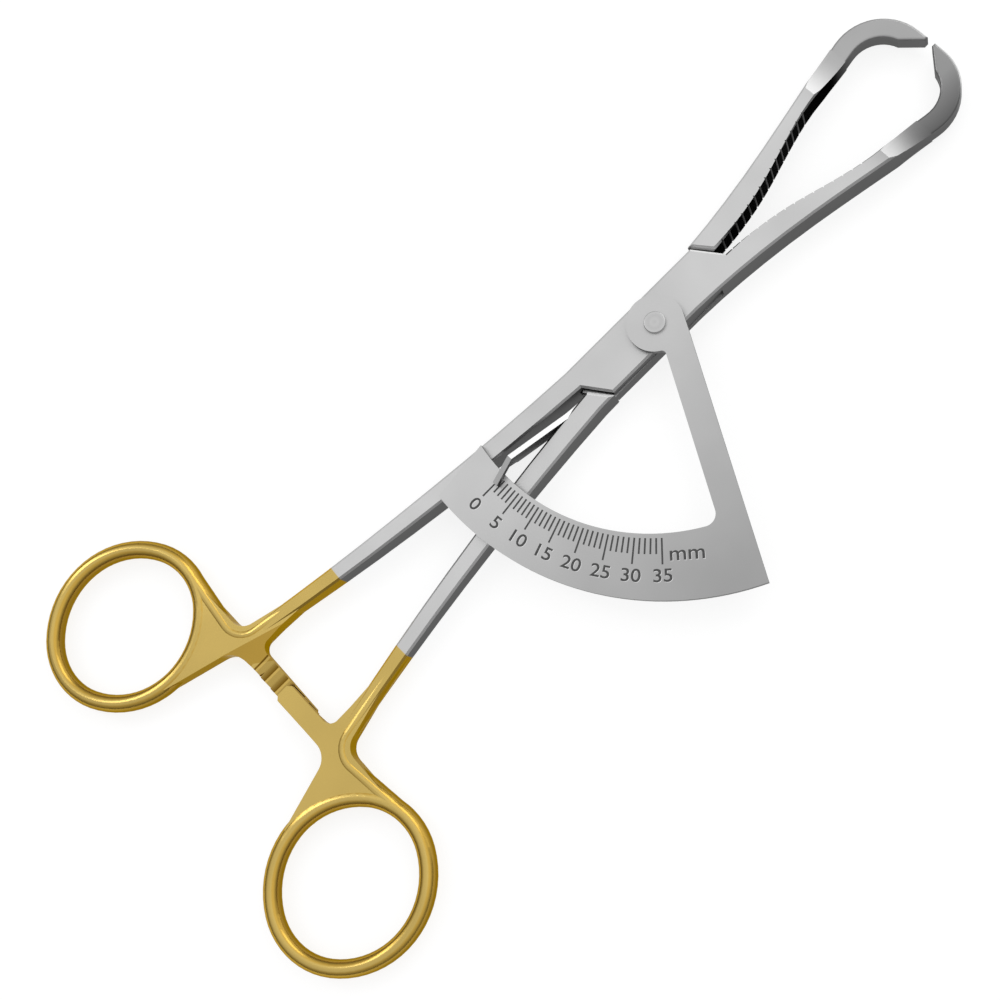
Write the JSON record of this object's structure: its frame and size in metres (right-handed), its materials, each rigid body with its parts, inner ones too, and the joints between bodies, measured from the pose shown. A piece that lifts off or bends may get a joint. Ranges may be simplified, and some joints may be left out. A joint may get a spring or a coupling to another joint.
{
  "type": "bone mapping caliper",
  "caption": "Ring-handled caliper with a box lock, hooked measuring points, a ratchet and a millimetre scale read by a pointer.",
  "frame": {"origin": "on the pivot axis, at the back face of the box lock, on which the caliper lies", "axes": "+Y towards the measuring points, +Z out of the scale side, +X to the right, where the scale is"},
  "size_m": [0.0603, 0.1225, 0.0057],
  "materials": {
    "satin_steel": "satin, with the shank ends and rings gold plated",
    "plate_steel": "matt, with dark engraved marks"
  },
  "bodies": {
    "still_arm": {"female_arm": "satin_steel", "scale_plate": "plate_steel", "pivot_pin": "satin_steel"},
    "moving_arm": {"male_arm": "satin_steel", "pointer": "satin_steel"}
  },
  "joints": [
    {"name": "box_lock", "type": "hinge", "parent": "still_arm", "child": "moving_arm", "pos_m": [0, 0, 0.002], "axis": [0, 0, 1], "range_deg": [-1.32, 46.12]}
  ]
}
